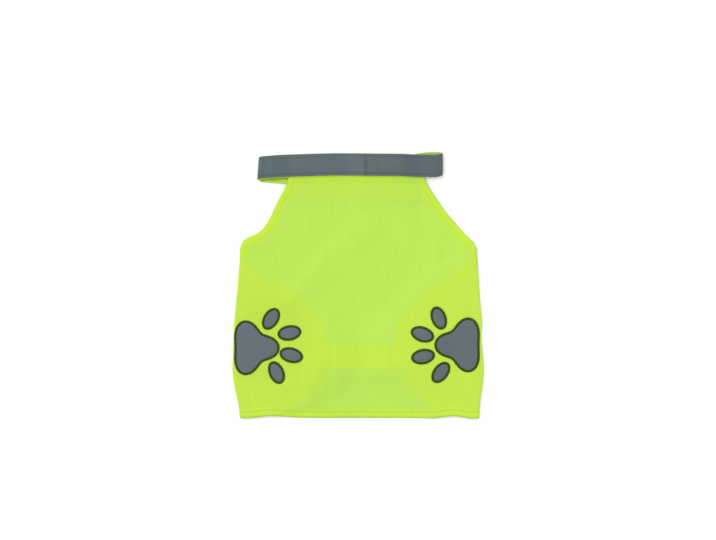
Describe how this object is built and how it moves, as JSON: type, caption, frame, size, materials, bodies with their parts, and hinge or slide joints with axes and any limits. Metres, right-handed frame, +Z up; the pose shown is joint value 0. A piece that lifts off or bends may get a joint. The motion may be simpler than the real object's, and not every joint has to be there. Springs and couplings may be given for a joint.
{
  "type": "dog safety vest",
  "caption": "Small dog's fluorescent safety vest laid flat, back up: reflective collar band, paw appliques at the sides, wings folded under and joined by a belly strap.",
  "frame": {"origin": "centre of the bounding box in plan, on the surface that the vest lies on", "axes": "+Z up off the surface, +Y from the hem to the collar, +X to the right seen from above"},
  "size_m": [0.2837, 0.3009, 0.0101],
  "materials": {
    "fluorescent_cloth": "matt woven polyester",
    "reflective_tape": "retroreflective coating, satin",
    "reflective_cloth": "retroreflective coating, satin, satin-stitched edge",
    "hook_and_loop": "napped"
  },
  "bodies": {
    "root": {"body": "fluorescent_cloth", "belly_strap": "fluorescent_cloth", "belly_hook": "hook_and_loop", "belly_loop": "hook_and_loop", "collar_band": "fluorescent_cloth", "collar_tape": "reflective_tape", "collar_hook": "hook_and_loop", "collar_loop": "hook_and_loop", "paw_left_pad": "reflective_cloth", "paw_left_toe_1": "reflective_cloth", "paw_left_toe_2": "reflective_cloth", "paw_left_toe_3": "reflective_cloth", "paw_left_toe_4": "reflective_cloth", "paw_right_pad": "reflective_cloth", "paw_right_toe_1": "reflective_cloth", "paw_right_toe_2": "reflective_cloth", "paw_right_toe_3": "reflective_cloth", "paw_right_toe_4": "reflective_cloth"}
  },
  "joints": []
}
